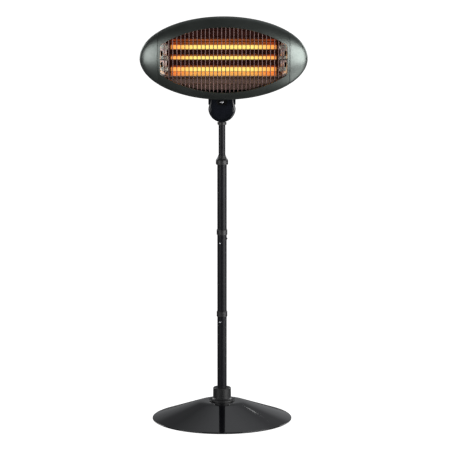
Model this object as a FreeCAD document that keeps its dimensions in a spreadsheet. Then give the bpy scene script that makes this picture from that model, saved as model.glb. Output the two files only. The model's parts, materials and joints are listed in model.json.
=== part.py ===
"""Free-standing electric quartz heater: round weighted base, jointed pole with a sliding
top section, and an elliptical head that tilts on a clamped hinge.

Frame: millimetres, +Z up, origin on the floor at the centre of the base.
The heater faces -Y and +X is to the right of a person who stands in front of it.
The head's pieces are drawn in the head's own axes (origin at the centre of its parting
plane) and placed at the rest tilt by their Placement.
"""
import FreeCAD, Part
import math
import os

import Sketcher
from FreeCAD import Placement, Rotation, Vector

SIZES = {
    # base
    "base_radius": 200.8, "rim_gap": 2.6, "rim_middle": 5.6, "rim_top": 8.4, "rim_width": 4,
    "cover_wall": 1.6, "plateau_radius": 60, "plateau_height": 56.5,
    "weight_radius": 178, "weight_bore": 30, "weight_floor": 5.5,
    "plate_radius": 190, "plate_thick": 1.5, "plate_floor": 3.2,
    "foot_radius": 9, "foot_circle": 168, "foot_height": 3,
    # socket in the middle of the base
    "gasket_thick": 1, "flange_radius": 37, "flange_thick": 3.5, "socket_radius": 25.7,
    "socket_top": 95.4, "socket_floor": 66, "socket_lip": 1.5, "socket_screw_height": 82,
    "stud_radius": 6, "stud_bottom": 32, "nut_width": 19, "nut_thick": 9,
    "washer_radius": 30, "washer_thick": 3,
    # pole sections
    "tube_radius": 13.6, "tube_wall": 1.2, "lower_joint": 310.9, "upper_joint": 548.8,
    "joint_ring_radius": 15.5, "joint_ring_length": 16.4, "spigot_wall": 1.6,
    "spigot_below": 48, "spigot_above": 16, "spigot_fit": 0.1, "upper_tube_top": 752,
    "lower_button_height": 287.8, "upper_button_height": 517.7, "button_turn": 25,
    "button_radius": 2.9, "button_hole": 3.2, "button_proud": 1.9, "button_flange": 4.6,
    "joint_screw_height": 530,
    # lock collar
    "collar_radius": 17.7, "collar_bottom": 744, "collar_waist": 756.2, "collar_top": 770.7,
    "collar_mouth": 10.8, "collar_shoulder": 14, "collar_wall": 2.9, "running_gap": 0.3,
    # sliding section
    "inner_radius": 9.75, "inner_wall": 1, "inner_bottom": 655, "inner_top": 905,
    "guide_length": 20, "neck_radius": 13, "neck_bottom": 857.9, "neck_top": 865,
    # bracket
    "bracket_half": 38.8, "bracket_round_height": 904.5, "bracket_front": 12,
    "bracket_back": 14, "bracket_wall": 3, "bracket_top": 936, "cover_half": 31.3,
    "cover_thick": 1.5, "cover_sunk": 0.4, "recess_half": 14.7, "recess_radius": 7.6,
    "recess_height": 923,
    "recess_depth": 1.4,
    "pivot_back": 16, "pivot_height": 955, "cheek_radius": 16, "cheek_inner": 18,
    "pivot_bolt_radius": 4, "knob_radius": 14, "knob_length": 20,
    # head
    "head_half_width": 236.5, "head_half_height": 119, "front_bulge": 52, "rear_bulge": 56,
    "opening_half": 178, "opening_apex": 93, "opening_corner": 45.5,
    "shell_wall": 2, "seam": 185, "seam_gap": 0.3, "seal_half": 0.4,
    "head_aside": 4.75, "head_forward": 64, "head_height": 1054, "rest_tilt": 5,
    # wire guard
    "wire_radius": 1.3, "wire_pitch": 11.4, "guard_plane": 25.5, "guard_bend": 2.7,
    "cross_wire_pitch": 51, "cross_wire_behind": 2.2, "guard_ring_plane": 20,
    "guard_ring_thick": 1.5, "guard_half": 183.5, "guard_apex": 98.5, "guard_corner": 48,
    "guard_ring_width": 8.5, "guard_screw_radius": 2.4,
    # heating elements and reflector
    "element_pitch": 31.6, "element_back": 1, "element_half": 156, "element_radius": 6,
    "element_wall": 1, "coil_radius": 2.6, "coil_half": 148, "ceramic_radius": 6.8,
    "ceramic_end": 178,
    "reflector_front": 18, "reflector_back": 13, "reflector_half": 86, "upper_lip": 89.5,
    "upper_foot": 36, "lower_foot": 37, "lower_lip": 71.4, "reflector_thick": 1,
    "reflector_length": 176, "shield_gap": 8,
    "end_plate_back_at": 163, "end_plate_front_at": 180, "end_plate_back": 8,
    "end_plate_front": 18.5, "end_plate_thick": 1.2,
    # switch
    "switch_across": 78, "switch_up": -8, "switch_half_width": 24, "switch_half_height": 17,
    "switch_back": 61, "rocker_half_width": 8.5, "rocker_half_height": 11,
}
WIRE_COUNT = 30
FOOT_COUNT = 6

doc = FreeCAD.newDocument("Heater")
sheet = doc.addObject("Spreadsheet::Sheet", "sizes")
for row, (alias, value) in enumerate(SIZES.items(), start=1):
    sheet.set(f"A{row}", alias)
    sheet.set(f"B{row}", str(value))
    sheet.setAlias(f"B{row}", alias)
doc.recompute()

nodes = []


def size(text):
    """The expression with each alias pointed at the sheet."""
    words = []
    for word in str(text).replace("(", " ( ").replace(")", " ) ").split():
        words.append(f"sizes.{word}" if word in SIZES else word)
    return " ".join(words)


def value(text):
    """The number that an expression gives."""
    return float(sheet.evalExpression(size(text)))


def bind(thing, **sizes):
    """Ties an object's properties to expressions on the sheet."""
    for name, text in sizes.items():
        thing.setExpression(name, size(text))
    return thing


def node(label, thing, place=None):
    """Names a finished sub-part and puts it in its place."""
    thing.Label = label
    if place is not None:
        thing.Placement = place
    nodes.append(thing)
    return thing


def origin_plane(body, role):
    return next(feature for feature in body.Origin.OriginFeatures if feature.Role == role)


def sketch_on(body, name, role, offset=None):
    """An empty sketch on one of its body's own planes, moved along the plane's normal."""
    sketch = body.newObject("Sketcher::SketchObject", name)
    sketch.AttachmentSupport = (origin_plane(body, role), [""])
    sketch.MapMode = "FlatFace"
    if offset is not None:
        sketch.setExpression(".AttachmentOffset.Base.z", size(offset))
    return sketch


def arc_between(start, end, radius):
    """The short arc from start to end; a positive radius turns to the left."""
    middle = (start + end) * 0.5
    chord = end - start
    across = Vector(-chord.y, chord.x, 0).normalize()
    half = chord.Length / 2
    rise = abs(radius) - math.sqrt(max(radius * radius - half * half, 0))
    side = -1 if radius > 0 else 1
    return Part.Arc(start, middle + across * rise * side, end)


def outline(sketch, corners):
    """A closed outline. A corner is (x, y), or (x, y, radius) where an arc leads to it."""
    points = [Vector(value(corner[0]), value(corner[1]), 0) for corner in corners]
    count = len(corners)
    first = sketch.GeometryCount
    ends = []
    for index in range(count):
        start, end = points[index - 1], points[index]
        if len(corners[index]) == 3:
            radius = value(corners[index][2])
            edge = sketch.addGeometry(arc_between(start, end, radius))
            ends.append((2, 1) if radius < 0 else (1, 2))
            key = sketch.addConstraint(Sketcher.Constraint("Radius", edge, abs(radius)))
            sketch.setExpression(f"Constraints[{key}]", f"abs({size(corners[index][2])})")
        else:
            sketch.addGeometry(Part.LineSegment(start, end))
            ends.append((1, 2))
    for index in range(count):
        following = (index + 1) % count
        sketch.addConstraint(Sketcher.Constraint(
            "Coincident", first + index, ends[index][1], first + following, ends[following][0]))
    for index, corner in enumerate(corners):
        for kind, text, number in (("DistanceX", corner[0], points[index].x),
                                   ("DistanceY", corner[1], points[index].y)):
            key = sketch.addConstraint(Sketcher.Constraint(
                kind, -1, 1, first + index, ends[index][1], number))
            sketch.setExpression(f"Constraints[{key}]", size(text))


def circle(sketch, across, up, radius):
    """A circle at a bound place with a bound radius."""
    centre = Vector(value(across), value(up), 0)
    edge = sketch.addGeometry(Part.Circle(centre, Vector(0, 0, 1), value(radius)))
    for kind, text, number in (("DistanceX", across, centre.x), ("DistanceY", up, centre.y)):
        key = sketch.addConstraint(Sketcher.Constraint(kind, -1, 1, edge, 3, number))
        sketch.setExpression(f"Constraints[{key}]", size(text))
    key = sketch.addConstraint(Sketcher.Constraint("Radius", edge, value(radius)))
    sketch.setExpression(f"Constraints[{key}]", size(radius))


def turned(name, corners):
    """A body turned about the Z axis from an outline of (radius, height) corners."""
    body = doc.addObject("PartDesign::Body", name)
    sketch = sketch_on(body, f"{name}_outline", "XZ_Plane")
    outline(sketch, corners)
    turn = body.newObject("PartDesign::Revolution", f"{name}_turn")
    turn.Profile = sketch
    turn.ReferenceAxis = (sketch, ["V_Axis"])
    turn.Angle = 360
    sketch.Visibility = False
    return body


def ring(name, inner, outer, bottom, top):
    """A plain turned ring."""
    return turned(name, [(inner, bottom), (outer, bottom), (outer, top), (inner, top)])


def padded(name, role, corners, length, offset=None, both_ways=False):
    """A body padded from one outline along its plane's normal."""
    body = doc.addObject("PartDesign::Body", name)
    add_pad(body, f"{name}_pad", role, corners, length, offset, both_ways)
    return body


def add_pad(body, name, role, corners, length, offset=None, both_ways=False):
    sketch = sketch_on(body, f"{name}_outline", role, offset)
    outline(sketch, corners)
    pad = body.newObject("PartDesign::Pad", name)
    pad.Profile = sketch
    pad.setExpression("Length", size(length))
    pad.Midplane = both_ways
    doc.recompute()
    return pad


def add_pocket(body, name, role, draw, length, offset=None, backwards=False, both_ways=False):
    """Cuts the shapes that draw(sketch) makes; stops the build if nothing was cut."""
    before = body.Shape.Volume
    sketch = sketch_on(body, f"{name}_outline", role, offset)
    draw(sketch)
    pocket = body.newObject("PartDesign::Pocket", name)
    pocket.Profile = sketch
    pocket.setExpression("Length", size(length))
    pocket.Reversed = backwards
    pocket.Midplane = both_ways
    doc.recompute()
    if body.Shape.Volume > before - 1:
        raise RuntimeError(f"{name} cuts nothing")
    return pocket


def rod(name, radius, length, place):
    """A cylinder that starts at place and runs along its local Z."""
    cylinder = doc.addObject("Part::Cylinder", name)
    bind(cylinder, Radius=radius, Height=length)
    cylinder.Placement = place
    return cylinder


def block(name, low, high):
    """A box between two corners given as expressions."""
    box = doc.addObject("Part::Box", name)
    bind(box, Length=f"({high[0]}) - ({low[0]})", Width=f"({high[1]}) - ({low[1]})",
         Height=f"({high[2]}) - ({low[2]})")
    box.Placement.Base = Vector(*(value(text) for text in low))
    return box


def ellipsoid(name, across, deep, up):
    body = doc.addObject("Part::Ellipsoid", name)
    bind(body, Radius1=up, Radius2=across, Radius3=deep)
    body.Angle1, body.Angle2, body.Angle3 = -90, 90, 360
    return body


def cut(name, base, *tools):
    result = base
    for index, tool in enumerate(tools):
        step = doc.addObject("Part::Cut", name if index == len(tools) - 1 else f"{name}_{index}")
        step.Base, step.Tool = result, tool
        result = step
    return result


def common(name, first, second):
    result = doc.addObject("Part::Common", name)
    result.Base, result.Tool = first, second
    return result


def fuse(name, *pieces):
    result = doc.addObject("Part::MultiFuse", name)
    result.Shapes = list(pieces)
    return result


def group(name, pieces):
    """Separate identical solids that share one node."""
    result = doc.addObject("Part::Compound", name)
    result.Links = list(pieces)
    return result


def along(direction, at):
    """A Placement whose local Z points along direction."""
    return Placement(Vector(*at), Rotation(Vector(0, 0, 1), Vector(*direction)))


# ---- base -------------------------------------------------------------------------------
def base():
    slope = "(plateau_height - rim_top) / (base_radius - rim_width - plateau_radius)"
    rim = "base_radius - rim_width"
    node("base_cover", turned("Cover", [
        (rim, "rim_gap"),
        ("base_radius", "rim_middle", 5),
        (rim, "rim_top", 5),
        ("plateau_radius", "plateau_height"),
        ("stud_radius + 0.3", "plateau_height"),
        ("stud_radius + 0.3", "plateau_height - cover_wall"),
        ("plateau_radius", "plateau_height - cover_wall"),
        (rim, "rim_top - cover_wall"),
        ("base_radius - cover_wall", "rim_middle", -2.4),
        (rim, "rim_gap + cover_wall", -2.4),
    ]))
    under = "cover_wall + 1.5"
    node("base_weight", turned("Weight", [
        ("weight_bore", "weight_floor"),
        ("weight_radius", "weight_floor"),
        ("weight_radius", f"rim_top + ({rim} - weight_radius) * {slope} - ({under})"),
        ("plateau_radius", f"plateau_height - ({under})"),
        ("weight_bore", f"plateau_height - ({under})"),
    ]))
    node("base_plate", ring("Plate", "weight_bore + 12", "plate_radius", "plate_floor",
                            "plate_floor + plate_thick"))
    feet = []
    for index in range(FOOT_COUNT):
        turn = math.radians(360 / FOOT_COUNT * (index + 0.5))
        circle_radius = value("foot_circle")
        place = Placement(Vector(circle_radius * math.cos(turn), circle_radius * math.sin(turn), 0),
                          Rotation())
        feet.append(rod(f"Foot{index}", "foot_radius", "foot_height", place))
    node("base_feet", group("Feet", feet))


def socket():
    gasket_floor = "plateau_height + 0.05"
    flange_floor = f"{gasket_floor} + gasket_thick"
    flange_top = f"{flange_floor} + flange_thick"
    node("socket_gasket", ring("Gasket", "stud_radius + 2", "flange_radius - 2", gasket_floor,
                               flange_floor))
    body = turned("Socket", [
        ("stud_radius + 0.1", flange_floor),
        ("flange_radius", flange_floor),
        ("flange_radius", flange_top),
        ("socket_radius + 3", f"{flange_top} + 1.5"),
        ("socket_radius + 0.4", f"{flange_top} + 5"),
        ("socket_radius", "socket_top - socket_lip"),
        ("socket_radius - socket_lip", "socket_top"),
        ("tube_radius + spigot_fit", "socket_top"),
        ("tube_radius + spigot_fit", "socket_floor"),
        ("stud_radius + 0.1", "socket_floor"),
    ])
    screws, holes = [], []
    for side in (-1, 1):
        turn = math.radians(30)
        direction = Vector(side * math.cos(turn), math.sin(turn), 0)
        inner = direction * value("tube_radius + 0.2") + Vector(0, 0, value("socket_screw_height"))
        screws.append(rod(f"SetScrew{side}", 3, "socket_radius - tube_radius - 1.2",
                          along(direction, inner)))
        holes.append(rod(f"SetHole{side}", 3.1, "socket_radius", along(direction, inner)))
    node("pole_socket", cut("SocketDrilled", body, *holes))
    node("socket_set_screws", group("SetScrews", screws))

    node("socket_stud", rod("Stud", "stud_radius", f"{flange_floor} + 6 - stud_bottom",
                            Placement(Vector(0, 0, value("stud_bottom")), Rotation())))
    washer_top = "plateau_height - cover_wall - 0.05"
    node("clamp_washer", ring("Washer", "stud_radius + 0.1", "washer_radius - 4",
                              f"{washer_top} - washer_thick", washer_top))
    hexagon = doc.addObject("Part::Prism", "NutBlank")
    hexagon.Polygon = 6
    bind(hexagon, Circumradius="nut_width / 1.732", Height="nut_thick")
    nut_floor = value(f"{washer_top} - washer_thick - 0.05 - nut_thick")
    hexagon.Placement.Base = Vector(0, 0, nut_floor)
    hole = rod("NutHole", "stud_radius + 0.1", 40, Placement(Vector(0, 0, 25), Rotation()))
    node("clamp_nut", cut("Nut", hexagon, hole))


# ---- pole -------------------------------------------------------------------------------
def button_axis():
    """The direction from the pole's axis out through the spring buttons."""
    turn = math.radians(value("button_turn"))
    return Vector(-math.sin(turn), -math.cos(turn), 0)


def button_hole(name, height):
    """A round tool from the pole's axis out through one side, on a button's axis."""
    return rod(name, "button_hole", 40, along(button_axis(), (0, 0, value(height))))


def joint_screw_hole(name):
    return rod(name, 1.8, 30, along((1, 0, 0), (0, 0, value("joint_screw_height"))))


def pole():
    inside = "tube_radius - tube_wall"
    lower = ring("TubeLower", inside, "tube_radius", "socket_floor + 0.2", "lower_joint")
    node("lower_tube", cut("TubeLowerDrilled", lower, button_hole("LowerHole", "lower_button_height")))
    middle = ring("TubeMiddle", inside, "tube_radius", "lower_joint + 0.2", "upper_joint")
    node("middle_tube", cut("TubeMiddleDrilled", middle,
                            button_hole("MiddleHole", "upper_button_height"),
                            joint_screw_hole("MiddleScrewHole")))
    node("upper_tube", ring("TubeUpper", inside, "tube_radius", "upper_joint + 0.2",
                            "upper_tube_top"))

    joints = (("lower", "lower_joint", "lower_button_height"),
              ("upper", "upper_joint", "upper_button_height"))
    for label, height, button in joints:
        half = "joint_ring_length / 2"
        edge = 1.2
        node(f"{label}_joint_ring", turned(f"Ring_{label}", [
            ("tube_radius + 0.05", f"{height} - {half}"),
            (f"joint_ring_radius - {edge}", f"{height} - {half}"),
            ("joint_ring_radius", f"{height} - {half} + {edge}"),
            ("joint_ring_radius", f"{height} + {half} - {edge}"),
            (f"joint_ring_radius - {edge}", f"{height} + {half}"),
            ("tube_radius + 0.05", f"{height} + {half}"),
        ]))
        outer = "tube_radius - tube_wall - spigot_fit"
        body = ring(f"Spigot_{label}", f"{outer} - spigot_wall", outer,
                    f"{height} - spigot_below", f"{height} + spigot_above")
        tools = [button_hole(f"Spigot_{label}_hole", button)]
        if label == "upper":
            tools.append(joint_screw_hole("SpigotScrewHole"))
        node(f"{label}_spigot", cut(f"Spigot_{label}_drilled", body, *tools))
    screw = turned("JointScrew", [
        (0, -5), (1.6, -5), (1.6, 0), (3.2, 0), (2.2, 1.7, 3.6), (0, 2.1)])
    seat = value("tube_radius") + 0.1
    node("joint_screw", screw, along((1, 0, 0), (seat, 0, value("joint_screw_height"))))


def spring_buttons():
    """Two snap buttons that lock the sections, each on its own leaf spring."""
    reach = value("tube_radius + button_proud")
    bore = value("tube_radius - tube_wall - spigot_fit - spigot_wall")
    inside = math.sqrt(bore ** 2 - value("button_flange") ** 2) - 0.4
    outward = button_axis()
    for label in ("lower", "upper"):
        height = value(f"{label}_button_height")
        body = turned(f"Button_{label}", [
            (0, 0),
            ("button_flange", 0),
            ("button_flange", 1),
            ("button_radius", 1),
            ("button_radius", reach - inside - 0.6),
            ("button_radius - 1.6", reach - inside + 0.9, 2.2),
            (0, reach - inside + 1),
        ])
        at = outward * (inside - 1)
        node(f"{label}_button", body, along(outward, (at.x, at.y, height)))
    leaves = []
    for label in ("lower", "upper"):
        body = padded(f"Leaf_{label}", "YZ_Plane", [
            (-5.9, -14), (-5.3, -14), (-5.3, 3), (-1, 15), (6.4, 15), (6.4, -14), (7, -14),
            (7, 15.6), (-1.4, 15.6), (-5.9, 3.2)], 7, both_ways=True)
        body.Placement = Placement(Vector(0, 0, value(f"{label}_button_height")),
                                   Rotation(Vector(0, 0, 1), -value("button_turn")))
        leaves.append(body)
    node("button_springs", group("Leaves", leaves))


def collar():
    bore = "inner_radius + running_gap"
    cavity = "collar_radius - collar_wall"
    node("lock_collar", turned("Collar", [
        (cavity, "collar_bottom"),
        ("collar_radius - 1", "collar_bottom"),
        ("collar_radius", "collar_bottom + 1"),
        ("collar_radius", "collar_waist"),
        ("collar_radius - 0.5", "collar_waist + 1.3"),
        ("collar_shoulder", "collar_waist + 5.8"),
        ("collar_mouth", "collar_top"),
        (bore, "collar_top"),
        (bore, "collar_waist + 1.2"),
        (cavity, "collar_waist + 1.2"),
    ]))
    node("collar_bush", turned("CollarBush", [
        ("tube_radius + 0.1", "collar_bottom + 0.6"),
        (f"{cavity} - running_gap", "collar_bottom + 0.6"),
        (f"{cavity} - running_gap", "collar_waist + 0.8"),
        (bore, "collar_waist + 0.8"),
        (bore, "upper_tube_top + 0.1"),
        ("tube_radius + 0.1", "upper_tube_top + 0.1"),
    ]))


def sliding_section():
    node("inner_tube", ring("InnerTube", "inner_radius - inner_wall", "inner_radius",
                            "inner_bottom", "inner_top"))
    node("guide_bush", ring("GuideBush", "inner_radius + 0.1",
                            "tube_radius - tube_wall - running_gap", "inner_bottom",
                            "inner_bottom + guide_length"))
    node("neck_sleeve", turned("Neck", [
        ("inner_radius + 0.1", "neck_bottom"),
        ("neck_radius - 1", "neck_bottom"),
        ("neck_radius", "neck_bottom + 1"),
        ("neck_radius", "neck_top"),
        ("inner_radius + 0.1", "neck_top"),
    ]))


# ---- bracket ----------------------------------------------------------------------------
def tongue(half, top):
    """A strip with a half-round lower end, in the XZ plane."""
    low = f"bracket_round_height - {half}"
    return [(f"-({half})", top), (f"-({half})", "bracket_round_height"), (0, low, half),
            (half, "bracket_round_height", half), (half, top)]


def stadium(half, radius):
    """A slot outline with round ends about the recess height, in the XZ plane."""
    flat = f"({half} - ({radius}))"
    low, high = f"recess_height - ({radius})", f"recess_height + {radius}"
    return [(f"-{flat}", high), (f"-({half})", "recess_height", radius),
            (f"-{flat}", low, radius), (flat, low), (half, "recess_height", radius),
            (flat, high, radius)]


def bracket():
    half = "bracket_half"
    body = padded("Bracket", "XZ_Plane", tongue(half, "bracket_top"),
                  "bracket_front + bracket_back", offset="-(bracket_back)")
    cheek = [
        ("-(bracket_front)", "bracket_top - 20"),
        ("bracket_back", "bracket_top - 20"),
        ("pivot_back + cheek_radius", "pivot_height"),
        ("pivot_back", "pivot_height + cheek_radius", "cheek_radius"),
        ("pivot_back - cheek_radius", "pivot_height", "cheek_radius"),
        ("-(bracket_front)", "bracket_top + 4"),
    ]
    width = "bracket_half - cheek_inner"
    add_pad(body, "CheekRight", "YZ_Plane", cheek, width, offset="cheek_inner")
    add_pad(body, "CheekLeft", "YZ_Plane", cheek, width, offset="-(bracket_half)")
    rim = "cover_half + 0.2"
    seat = "cover_thick + cover_sunk + 0.2"
    add_pocket(body, "CoverSeat", "XZ_Plane",
               lambda sketch: outline(sketch, tongue(rim, "bracket_top - 3")),
               seat, offset=f"bracket_front - ({seat})", backwards=True)
    add_pocket(body, "Cavity", "XZ_Plane",
               lambda sketch: outline(sketch, tongue("cover_half - 5", "bracket_top - 3.8")),
               "bracket_front + bracket_back - bracket_wall",
               offset="-(bracket_back - bracket_wall)", backwards=True)
    add_pocket(body, "PoleBore", "XY_Plane",
               lambda sketch: circle(sketch, 0, 0, "inner_radius + 0.1"), 60,
               offset="bracket_round_height - bracket_half - 20", backwards=True)
    add_pocket(body, "BoltBore", "YZ_Plane",
               lambda sketch: circle(sketch, "pivot_back", "pivot_height",
                                     "pivot_bolt_radius + 0.1"), 90, both_ways=True)
    node("bracket_body", body)

    face = "bracket_front - cover_sunk"
    cover = padded("Cover_front", "XZ_Plane", tongue("cover_half", "bracket_top - 3.2"),
                   "cover_thick", offset=f"{face} - cover_thick")
    add_pad(cover, "RecessBack", "XZ_Plane", stadium("recess_half + 1.2", "recess_radius + 1.2"),
            "recess_depth", offset=f"{face} - cover_thick - recess_depth")
    add_pocket(cover, "Recess", "XZ_Plane",
               lambda sketch: outline(sketch, stadium("recess_half", "recess_radius")),
               "recess_depth", offset=f"{face} - recess_depth", backwards=True)
    add_pocket(cover, "CoverScrewHole", "XZ_Plane",
               lambda sketch: circle(sketch, 0, "recess_height", 2.2), 40, both_ways=True)
    node("bracket_cover", cover)

    screw = turned("CoverScrew", [
        (0, -9), (2, -9), (2, 0), (3.6, 0), (3.6, 0.7), (2.4, 1.3), (0, 1.3)])
    seat = value(f"{face} - recess_depth") + 0.05
    node("cover_screw", screw, along((0, -1, 0), (0, -seat, value("recess_height"))))


def hinge():
    """The clamped hinge behind the head: bolt, washers and a hand knob."""
    back, height = value("pivot_back"), value("pivot_height")
    outside = value("bracket_half")
    bolt = turned("TiltBolt", [
        (0, -outside - 7), (6.5, -outside - 7), (6.5, -outside - 1.6),
        ("pivot_bolt_radius", -outside - 1.6), ("pivot_bolt_radius", outside + 12),
        (0, outside + 12)])
    axis = along((1, 0, 0), (0, back, height))
    node("tilt_bolt", bolt, axis)
    washers = []
    for side, low in ((-1, -outside - 1.5), (1, outside + 0.1)):
        washer = ring(f"HingeWasher{side}", "pivot_bolt_radius + 0.1", 9, low, low + 1.4)
        washer.Placement = axis
        washers.append(washer)
    node("tilt_washers", group("HingeWashers", washers))

    bore, rim, end = "pivot_bolt_radius + 0.1", "knob_radius - 2", "bracket_half + knob_length"
    hub = turned("KnobHub", [
        (bore, outside + 1.8), (9, outside + 1.8), (9, outside + 6), (rim, outside + 6),
        (rim, end), (0, end), (0, outside + 12.6), (bore, outside + 12.6)])
    lobes = []
    lobe_count = 6
    for index in range(lobe_count):
        turn = 2 * math.pi * index / lobe_count
        distance = value("knob_radius") - 4
        at = Vector(distance * math.cos(turn), distance * math.sin(turn), outside + 6)
        lobes.append(rod(f"Lobe{index}", 4, "knob_length - 6", Placement(at, Rotation())))
    node("tilt_knob", fuse("Knob", hub, *lobes), axis)


# ---- head -------------------------------------------------------------------------------
def shell_slice(name, bulge, low, high, inset=0, wall="shell_wall"):
    """The part of a hollow half-ellipsoid shell that lies in a box."""
    outer = ellipsoid(f"{name}_outer", f"head_half_width - {inset}", f"{bulge} - {inset}",
                      f"head_half_height - {inset}")
    inner = ellipsoid(f"{name}_inner", f"head_half_width - {inset} - {wall}",
                      f"{bulge} - {inset} - {wall}", f"head_half_height - {inset} - {wall}")
    return common(name, cut(f"{name}_hollow", outer, inner), block(f"{name}_box", low, high))


def rear_surface(across, up):
    """How far behind the parting plane the rear shell's outer face is at a place."""
    inside = 1 - (across / value("head_half_width")) ** 2 - (up / value("head_half_height")) ** 2
    return value("rear_bulge") * math.sqrt(inside)


def barrel(half, apex, corner):
    """An outline with upright ends and bowed long sides, in the XZ plane."""
    across, side = f"({half} - 6)", f"({corner} - 10.6)"
    rise = f"({apex} - ({corner}))"
    bow = f"({across} ^ 2 + {rise} ^ 2) / (2 * {rise})"
    return [
        (f"-({half})", f"-{side}"), (f"-{across}", f"-({corner})", 12.3),
        (across, f"-({corner})", bow), (half, f"-{side}", 12.3), (half, side),
        (across, corner, 12.3), (f"-{across}", corner, bow), (f"-({half})", side, 12.3)]


def ellipse_plate(across, up, front, thick):
    """A flat elliptical plate that faces -Y."""
    edge = Part.Ellipse(Vector(0, front, 0), across, up).toShape()
    edge.rotate(Vector(0, front, 0), Vector(1, 0, 0), 90)
    return Part.Face(Part.Wire([edge])).extrude(Vector(0, thick, 0))


SHELL_SCREWS = [(x, z) for x in (-130, 130) for z in (-62, 62)] + [(0, 95)]
GLAND_AT = (-84, -48)
LUG_SCREW_SPREAD, LUG_SCREW_HEIGHT = 21.5, -62
VENT_COUNT, VENT_PITCH = 9, 14
WINDOW_LOW, WINDOW_HIGH = 9, 23


def shell_screw(name, x, z):
    screw = turned(name, [
        (0, -8), (2, -8), (2, 0.9), (3.4, 0.9), (3.4, 1.6), (2.2, 2.3), (0, 2.3)])
    screw.Placement = along((0, 1, 0), (x, rear_surface(x, z) + 0.9, z))
    return screw


def lug_screw_places():
    return [(side * LUG_SCREW_SPREAD - value("head_aside"), LUG_SCREW_HEIGHT) for side in (-1, 1)]


def casing(place):
    edge = value("seam - seam_gap / 2")
    tall, front = 130, "-(front_bulge) - 1"
    blank = shell_slice("Bezel", "front_bulge", (-edge, front, -tall), (edge, "-(seal_half)", tall))
    opening = padded("Opening", "XZ_Plane", barrel("opening_half", "opening_apex", "opening_corner"),
                     60)
    node("front_bezel", cut("BezelOpened", blank, opening), place)

    rear = shell_slice("Rear", "rear_bulge", (-edge, "seal_half", -tall), (edge, 70, tall))
    tools = []
    for index, (x, z) in enumerate(SHELL_SCREWS + lug_screw_places()):
        inside = (x, rear_surface(x, z) - 20, z)
        tools.append(rod(f"RearHole{index}", 2.2, 40, along((0, 1, 0), inside)))
    tools.append(rod("GlandHole", 8.2, 40, along((0, 1, 0), (GLAND_AT[0], 20, GLAND_AT[1]))))
    for index in range(VENT_COUNT):
        x = (index - (VENT_COUNT - 1) / 2) * VENT_PITCH
        tools.append(block(f"Vent{index}", (x - 2.2, 10, 42), (x + 2.2, 70, 76)))
    across, up = value("switch_across"), value("switch_up")
    half_x, half_z = value("switch_half_width") - 4, value("switch_half_height") - 4
    tools.append(block("SwitchWindow", (across - half_x, 20, up - half_z),
                       (across + half_x, 70, up + half_z)))
    node("rear_shell", cut("RearDrilled", rear, *tools), place)

    half_width, half_height = value("head_half_width") - 0.5, value("head_half_height") - 0.5
    front, thick, wall = -value("seal_half") + 0.05, 2 * value("seal_half") - 0.1, value("shell_wall")
    seal = ellipse_plate(half_width, half_height, front, thick).cut(
        ellipse_plate(half_width - wall, half_height - wall, front - 1, thick + 2))
    between = Part.makeBox(2 * edge, 4, 2 * tall, Vector(-edge, -2, -tall))
    strip = doc.addObject("Part::Feature", "Seal")
    strip.Shape = seal.common(between)
    node("head_seal", strip, place)

    inner, outer = value("seam + seam_gap / 2"), 240
    for label, low, high in (("right", inner, outer), ("left", -outer, -inner)):
        before = shell_slice(f"Cap_{label}_front", "front_bulge", (low, "-(front_bulge) - 1", -tall),
                             (high, 0, tall))
        behind = shell_slice(f"Cap_{label}_back", "rear_bulge", (low, 0, -tall), (high, 70, tall))
        node(f"{label}_end_cap", fuse(f"Cap_{label}", before, behind), place)
    screws = [shell_screw(f"ShellScrew{index}", x, z) for index, (x, z) in enumerate(SHELL_SCREWS)]
    node("shell_screws", group("ShellScrews", screws), place)


def hinge_lug(place):
    """The arm that carries the head: a barrel on the hinge bolt and a foot on the rear shell."""
    local = place.inverse().multVec(Vector(0, value("pivot_back"), value("pivot_height")))
    x, y, z = local
    wide = "2 * cheek_inner - 2"
    arm = padded("LugArm", "YZ_Plane", [
        (y + 6, z + 10), (y - 14, z + 56), (34, z + 62), (22, -90), (28, -98),
        (y - 10, z + 6)], wide, offset="-(head_aside)", both_ways=True)
    eye = rod("LugEye", 12.5, wide, along((1, 0, 0), (x - value("cheek_inner") + 1, y, z)))
    hole = rod("LugHole", "pivot_bolt_radius + 0.06", 60, along((1, 0, 0), (x - 30, y, z)))
    foot = block("LugFoot", (x - 27, 30, -76), (x + 27, 51, -46))
    clear = ellipsoid("LugClear", "head_half_width + 0.3", "rear_bulge + 0.3",
                      "head_half_height + 0.3")
    tools = [hole, clear]
    screws = []
    for index, (across, up) in enumerate(lug_screw_places()):
        tools.append(rod(f"LugScrewHole{index}", 2.2, 40, along((0, 1, 0), (across, 30, up))))
        screw = turned(f"LugScrew{index}", [
            (0, -14), (2, -14), (2, 0), (3.8, 0), (3.8, 1), (2.4, 2), (0, 2)])
        screw.Placement = along((0, 1, 0), (across, 51.05, up))
        screws.append(screw)
    node("hinge_lug", cut("Lug", fuse("LugBlank", arm, eye, foot), *tools), place)
    node("lug_screws", group("LugScrews", screws), place)


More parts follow.
